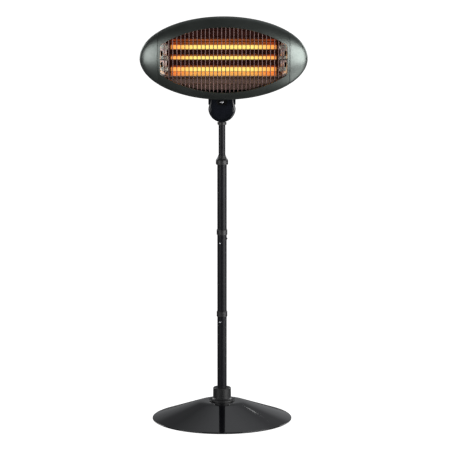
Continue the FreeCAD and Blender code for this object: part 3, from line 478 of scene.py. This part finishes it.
# ---- head -------------------------------------------------------------------------------
HALF_WIDTH, HALF_HEIGHT, FRONT_BULGE, REAR_BULGE, WALL = 236.5, 119, 52, 56, 2
SEAM, SEAM_GAP, SEAM_ROUND, PARTING, CAP_DEEP = 185, 0.3, 0.9, 0.4, 6
OPENING_HALF, OPENING_SIDE, OPENING_ROUND = 178, 34.9, 12.3
OPENING_APEX, OPENING_BOW, OPENING_BOW_END = 93, 335.2, 172
LIP_ROUND, LIP_DEEP, LIP_WALL, LIP_STEPS = 1.2, 4.5, 2.5, 5


def ray_to_circle(direction, centre, radius):
    """How far along a unit direction from the origin the far side of a circle is."""
    along = direction.dot(centre)
    return along + math.sqrt(max(along * along - centre.length_squared + radius * radius, 0))


def opening_radius(turn):
    """How far the opening's edge is from its centre in the direction turn."""
    direction = Vector((abs(math.cos(turn)), abs(math.sin(turn))))
    if direction.x > 1e-6 and OPENING_HALF * direction.y / direction.x <= OPENING_SIDE:
        return OPENING_HALF / direction.x
    bow = ray_to_circle(direction, Vector((0, OPENING_APEX - OPENING_BOW)), OPENING_BOW)
    if bow * direction.x <= OPENING_BOW_END:
        return bow
    centre = Vector((OPENING_HALF - OPENING_ROUND, OPENING_SIDE))
    return ray_to_circle(direction, centre, OPENING_ROUND)


def shell_depth(x, z, inset=0):
    """How far the front skin stands before the parting plane."""
    inside = 1 - (x / (HALF_WIDTH - inset)) ** 2 - (z / (HALF_HEIGHT - inset)) ** 2
    return (FRONT_BULGE - inset) * math.sqrt(max(inside, 0))


def seam_drop(x, edge):
    """How far the skin is turned in beside a seam, to make a soft-edged groove."""
    over = (abs(x) - (edge - SEAM_ROUND)) / SEAM_ROUND
    return SEAM_ROUND * (1 - math.sqrt(1 - min(over, 1) ** 2)) if over > 0 else 0


def on_shell(x, z, inset, edge):
    """A point of the front skin, turned in near the seam."""
    depth = max(shell_depth(x, z, inset), PARTING)
    normal = Vector((-depth / FRONT_BULGE ** 2, z / HALF_HEIGHT ** 2)).normalized()
    drop = seam_drop(x, edge) if inset == 0 else 0
    return (x, -depth - normal.x * drop, z - normal.y * drop)


def skin_limit(turn, inset, edge):
    """How far the skin reaches from the centre: to the parting plane or to the seam."""
    across, up = abs(math.cos(turn)), abs(math.sin(turn))
    shrink = math.sqrt(1 - (PARTING / (FRONT_BULGE - inset)) ** 2)
    rim = shrink / math.hypot(across / (HALF_WIDTH - inset), up / (HALF_HEIGHT - inset))
    return min(rim, edge / across) if across > 1e-6 else rim


def bezel_row(turn, edge):
    """One closed section of the bezel: inner skin, rolled lip at the opening, outer skin."""
    across, up = math.cos(turn), math.sin(turn)
    inner_steps, outer_steps = 10, 30
    start = opening_radius(turn)
    inner_end, outer_end = skin_limit(turn, WALL, edge), skin_limit(turn, 0, edge)
    row = []
    for step in range(inner_steps + 1):
        part = math.sin(math.pi / 2 * (1 - step / inner_steps))
        reach = start + LIP_WALL + (inner_end - start - LIP_WALL) * part
        row.append(on_shell(reach * across, reach * up, WALL, edge))
    curl = start + LIP_ROUND
    front = -shell_depth(curl * across, curl * up)
    row.append((curl * across, front + LIP_DEEP, curl * up))
    row.append((start * across, front + LIP_DEEP, start * up))
    for step in range(LIP_STEPS):
        angle = math.pi / 2 * step / (LIP_STEPS - 1)
        reach = start + LIP_ROUND * (1 - math.cos(angle))
        row.append((reach * across, front + LIP_ROUND * (1 - math.sin(angle)), reach * up))
    near_edge = SEAM_ROUND / max(abs(across), 0.2)
    for step in range(1, outer_steps + 1):
        part = math.sin(math.pi / 2 * step / outer_steps)
        reach = curl + (outer_end - near_edge - curl) * part
        row.append(on_shell(reach * across, reach * up, 0, edge))
    for part in (0.35, 0.65, 0.88, 1.0):
        reach = outer_end - near_edge * (1 - part)
        row.append(on_shell(reach * across, reach * up, 0, edge))
    return row


def bezel():
    """The head's front shell, one section for each direction round the opening."""
    edge, steps = SEAM - SEAM_GAP / 2, 72
    corner = math.atan2(HALF_HEIGHT * math.sqrt(1 - (edge / HALF_WIDTH) ** 2), edge)
    quarter = [math.pi / 2 * step / steps for step in range(steps + 1)]
    quarter = sorted(set(quarter + [corner, math.atan2(OPENING_SIDE, OPENING_HALF)]))
    turns = list(quarter)
    turns += [math.pi - turn for turn in reversed(quarter[:-1])]
    turns += [math.pi + turn for turn in quarter[1:]]
    turns += [2 * math.pi - turn for turn in reversed(quarter[1:-1])]
    mesh = rows_to_mesh("bezel", [bezel_row(turn, edge) for turn in turns], True, True)
    finish_mesh("bezel", mesh, "head", "shell_grey", ["front_bezel"], HEAD_PLACE)


def end_cap(label, side):
    """The rounded end of the head, with its skin turned in at the seam."""
    edge = SEAM + SEAM_GAP / 2
    floor_at, ring_steps, dome_steps = edge + CAP_DEEP, 112, 24
    rows = []
    sections = [(floor_at, WALL, 0), (edge, WALL, 0)]
    for part in (1.0, 0.8, 0.5, 0.2, 0.0):
        drop = SEAM_ROUND * (1 - math.sqrt(1 - part * part))
        sections.append((edge + SEAM_ROUND * (1 - part), 0, drop))
    first = math.asin((edge + SEAM_ROUND) / HALF_WIDTH)
    for step in range(1, dome_steps):
        angle = first + (math.pi / 2 - first) * step / dome_steps
        sections.append((HALF_WIDTH * math.sin(angle), 0, 0))
    for x, inset, drop in sections:
        size = math.sqrt(1 - (x / HALF_WIDTH) ** 2)
        ring = []
        for step in range(ring_steps):
            turn = 2 * math.pi * step / ring_steps
            deep = FRONT_BULGE if math.cos(turn) > 0 else REAR_BULGE
            ring.append((side * x, -(deep * size - inset - drop) * math.cos(turn),
                         (HALF_HEIGHT * size - inset - drop) * math.sin(turn)))
        rows.append(ring)
    poles = [(-1, (side * HALF_WIDTH, 0, 0)), (0, (side * floor_at, 0, 0))]
    mesh = rows_to_mesh(f"{label}_cap", rows, False, True, poles)
    finish_mesh(f"{label}_cap", mesh, "head", "cap_grey", [f"{label}_end_cap"], HEAD_PLACE)


ELEMENT_PITCH, ELEMENT_BACK = 31.6, 1
COIL_RADIUS, COIL_HALF, COIL_PITCH, COIL_WIRE, COIL_STEPS = 2.15, 148, 1.7, 0.42, 12
CERAMIC_START, CERAMIC_END, CERAMIC_RADIUS, CERAMIC_NECK = 156.2, 177.8, 6.6, 5.4


def coils():
    """The wound resistance wire of each tube."""
    data = bpy.data.curves.new("heating_wires", "CURVE")
    data.dimensions = "3D"
    data.bevel_depth = COIL_WIRE * MM
    data.bevel_resolution = 1
    count = int(2 * COIL_HALF / COIL_PITCH * COIL_STEPS)
    for index in (-1, 0, 1):
        spline = data.splines.new("POLY")
        spline.points.add(count)
        for step in range(count + 1):
            turn = 2 * math.pi * step / COIL_STEPS
            at = Vector((-COIL_HALF + 2 * COIL_HALF * step / count,
                         ELEMENT_BACK + COIL_RADIUS * math.cos(turn),
                         index * ELEMENT_PITCH + COIL_RADIUS * math.sin(turn)))
            spline.points[step].co = (*(HEAD_PLACE @ (at * MM)), 1)
    data.materials.append(MATERIALS["glow"])
    piece = bpy.data.objects.new("heating_wires", data)
    bpy.context.scene.collection.objects.link(piece)
    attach(piece, "head")
    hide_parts("heating_coils")


def ceramic_ends():
    """Stepped ceramic ends on the tubes, with a groove for the holder."""
    profile = rounded([
        (0, CERAMIC_START), (5.6, CERAMIC_START, 0.6), (CERAMIC_RADIUS, 158.5, 0.6),
        (CERAMIC_RADIUS, 166, 0.5), (CERAMIC_NECK, 166.6, 0.4), (CERAMIC_NECK, 169.4, 0.4),
        (CERAMIC_RADIUS, 170, 0.5), (CERAMIC_RADIUS, CERAMIC_END, 0.8), (0, CERAMIC_END)], 3)
    for label, side in (("left", -1), ("right", 1)):
        shape = bmesh.new()
        for index in (-1, 0, 1):
            rows = [[(side * x, y + ELEMENT_BACK, z + index * ELEMENT_PITCH) for x, y, z in ring]
                    for ring in lathe_rows(profile[1:-1], steps=28, axis="X")]
            ends = [(row, (side * x, ELEMENT_BACK, index * ELEMENT_PITCH))
                    for row, x in ((0, CERAMIC_START), (-1, CERAMIC_END))]
            shape.from_mesh(rows_to_mesh("ceramic", rows, False, True, ends))
        mesh = bpy.data.meshes.new(f"{label}_ceramics")
        shape.to_mesh(mesh)
        shape.free()
        finish_mesh(f"{label}_ceramics", mesh, "head", "ceramic", ["tube_ceramics"], HEAD_PLACE)


# ---- stand ------------------------------------------------------------------------------
BASE_HOLE, PLATEAU_RADIUS, PLATEAU_HEIGHT, BASE_RADIUS, SHEET = 6.4, 60, 56.4, 200.7, 1.5


def base_dome():
    """The spun base: flat round the socket, a soft shoulder, a straight cone and a thin rim."""
    profile = rounded([
        (BASE_HOLE, PLATEAU_HEIGHT - SHEET + 0.05), (BASE_HOLE, PLATEAU_HEIGHT),
        (PLATEAU_RADIUS, PLATEAU_HEIGHT, 12), (BASE_RADIUS - 3.5, 8.3, 2.5),
        (BASE_RADIUS, 6.6, 1.6), (BASE_RADIUS, 4.9, 1.6), (BASE_RADIUS - 3.7, 2.7, 0.6),
        (BASE_RADIUS - 3.9, 4.3), (BASE_RADIUS - 1.6, 5.6), (BASE_RADIUS - 3.9, 6.8),
        (PLATEAU_RADIUS, PLATEAU_HEIGHT - SHEET)], 8)
    mesh = rows_to_mesh("base_dome", lathe_rows(profile, steps=256), True, True)
    finish_mesh("base_dome", mesh, "stand", "black_gloss", ["base_cover"])


BRACKET_HALF, BRACKET_ROUND, BRACKET_TOP, BRACKET_FRONT, BRACKET_BACK = 38.8, 904.5, 936, 12, 14
BRACKET_SOFT, BRACKET_SOFT_ACROSS, BRACKET_WALL, COVER_GAP = 7, 0.93, 3.1, 0.25
COVER_HALF, COVER_TOP, COVER_FACE, COVER_THICK, COVER_SOFT = 31.3, 932.8, 11.6, 1.5, 1.2
RECESS_HALF, RECESS_RADIUS, RECESS_HEIGHT, RECESS_DEPTH = 14.7, 7.6, 923, 1.4
PIVOT_BACK, PIVOT_HEIGHT, CHEEK_RADIUS, CHEEK_INNER, CHEEK_BEVEL = 16, 955, 16, 18, 1.2


def tongue_loop(half, top, inset, y):
    """A U-shaped loop, round at the bottom, set in from an outline."""
    across_steps, round_steps = 12, 40
    half, top = half - inset, top - inset
    loop = [(half * (1 - 2 * step / across_steps), y, top) for step in range(1, across_steps)]
    for step in range(round_steps + 1):
        turn = math.pi + math.pi * step / round_steps
        loop.append((half * math.cos(turn), y, BRACKET_ROUND + half * math.sin(turn)))
    return loop


def cheek(side):
    """One of the two ears that hold the hinge bolt, as a bevelled plate."""
    steps = 24
    front, foot = -BRACKET_FRONT + 3, BRACKET_TOP - 20
    outline = [(front, foot), (BRACKET_BACK - 0.5, foot)]
    for step in range(steps + 1):
        turn = math.pi * step / steps
        outline.append((PIVOT_BACK + CHEEK_RADIUS * math.cos(turn),
                        PIVOT_HEIGHT + CHEEK_RADIUS * math.sin(turn)))
    outline.append((front, BRACKET_TOP + 4))
    shape = bmesh.new()
    face = shape.faces.new([shape.verts.new(Vector((side * CHEEK_INNER, y, z)) * MM)
                            for y, z in outline])
    moved = bmesh.ops.extrude_face_region(shape, geom=[face])["geom"]
    wide = Vector((side * (BRACKET_HALF - CHEEK_INNER - 0.05), 0, 0)) * MM
    corners = [part for part in moved if isinstance(part, bmesh.types.BMVert)]
    bmesh.ops.translate(shape, verts=corners, vec=wide)
    rims = [edge for edge in shape.edges
            if abs(edge.verts[0].co.x - edge.verts[1].co.x) < 1e-6]
    bmesh.ops.bevel(shape, geom=rims, offset=CHEEK_BEVEL * MM, segments=3, profile=0.6,
                    affect="EDGES")
    return shape


def bracket():
    """The bracket's moulded body, soft-edged, with a seat for its cover and two ears."""
    inner_back = BRACKET_BACK - BRACKET_WALL
    loops = [tongue_loop(BRACKET_HALF, BRACKET_TOP, inset, BRACKET_BACK - forward)
             for inset, forward in ((6, 0), (1.5, 0), (0.4, 0.4), (0, 1.5))]
    soft_steps = 10
    for step in range(soft_steps + 1):
        angle = math.pi / 2 * step / soft_steps
        loops.append(tongue_loop(BRACKET_HALF, BRACKET_TOP,
                                 BRACKET_SOFT * (1 - math.cos(angle)) * BRACKET_SOFT_ACROSS,
                                 -BRACKET_FRONT + BRACKET_SOFT * (1 - math.sin(angle))))
    seat_half = COVER_HALF + COVER_GAP
    seat_top = BRACKET_TOP - (BRACKET_HALF - seat_half) + 4
    for inset, y in ((0, 0.12 - BRACKET_FRONT), (0.05, 0.5 - BRACKET_FRONT),
                     (0.05, 2.4 - BRACKET_FRONT), (8, 2.4 - BRACKET_FRONT), (8, inner_back)):
        loops.append(tongue_loop(seat_half, seat_top, inset, y))
    poles = [(0, (0, BRACKET_BACK, BRACKET_ROUND)), (-1, (0, inner_back, BRACKET_ROUND))]
    mesh = rows_to_mesh("bracket_shell", loops, False, True, poles)
    shape = bmesh.new()
    shape.from_mesh(mesh)
    for side in (-1, 1):
        ear = bpy.data.meshes.new("ear")
        built = cheek(side)
        built.to_mesh(ear)
        built.free()
        shape.from_mesh(ear)
        bpy.data.meshes.remove(ear)
    shape.to_mesh(mesh)
    shape.free()
    finish_mesh("bracket_shell", mesh, "mast", "black_gloss", ["bracket_body"], look="moulding")


def cover_reach(turn):
    """How far the cover's edge is from the middle of its recess, in the direction turn."""
    across, up = math.cos(turn), math.sin(turn)
    reach = COVER_HALF / max(abs(across), 1e-9)
    if up > 0:
        reach = min(reach, (COVER_TOP - RECESS_HEIGHT) / up)
    if RECESS_HEIGHT + reach * up < BRACKET_ROUND:
        centre = Vector((0, BRACKET_ROUND - RECESS_HEIGHT))
        reach = ray_to_circle(Vector((across, up)), centre, COVER_HALF)
    return reach


def recess_reach(turn):
    """How far the recess's edge is from its middle, in the direction turn."""
    across, up = abs(math.cos(turn)), abs(math.sin(turn))
    flat = RECESS_HALF - RECESS_RADIUS
    if up > 1e-9 and RECESS_RADIUS * across / up <= flat:
        return RECESS_RADIUS / up
    return ray_to_circle(Vector((across, up)), Vector((flat, 0)), RECESS_RADIUS)


PLATE_HOLE, PLATE_TURNS, PLATE_STEPS = 3, 160, 5


def bracket_plate():
    """The cover plate: a soft outer edge and a dished oval recess round its screw."""
    top_corner = math.atan2(COVER_TOP - RECESS_HEIGHT, COVER_HALF)
    turns = sorted({2 * math.pi * step / PLATE_TURNS for step in range(PLATE_TURNS)}
                   | {top_corner, math.pi - top_corner})
    face, back = -COVER_FACE, -COVER_FACE + COVER_THICK
    rows = []
    for turn in turns:
        edge, oval = cover_reach(turn), recess_reach(turn)
        section = [(PLATE_HOLE, back), (edge - 0.3, back), (edge, back - 0.3)]
        for step in range(PLATE_STEPS):
            angle = math.pi / 2 * step / (PLATE_STEPS - 1)
            section.append((edge - COVER_SOFT * (1 - math.cos(angle)),
                            face + COVER_SOFT * (1 - math.sin(angle))))
        rim = len(section)
        section += [(oval + 0.9, face), (oval + 0.4, face + 0.1), (oval, face + 0.5),
                    (oval - 1.2, face + RECESS_DEPTH - 0.2), (oval - 2.6, face + RECESS_DEPTH),
                    (PLATE_HOLE, face + RECESS_DEPTH + 0.02)]
        rows.append([(reach * math.cos(turn), y, RECESS_HEIGHT + reach * math.sin(turn))
                     for reach, y in section])
    mesh = rows_to_mesh("bracket_plate", rows, True, True)
    around = len(section)
    # The recess's faces take the near-black recess material, painted shade in the recess.
    painted_shade_faces = [int(rim <= part.index % around < around - 1) for part in mesh.polygons]
    mesh.polygons.foreach_set("material_index", painted_shade_faces)
    piece = finish_mesh("bracket_plate", mesh, "mast", "black_gloss", ["bracket_cover"],
                        look="moulding")
    piece.data.materials.append(MATERIALS["recess"])


camera()
pale_floor()
studio()
lights()
MATERIALS = make_materials()
dress_cad_nodes(MATERIALS)
bezel()
end_cap("left", -1)
end_cap("right", 1)
coils()
ceramic_ends()
base_dome()
bracket()
bracket_plate()
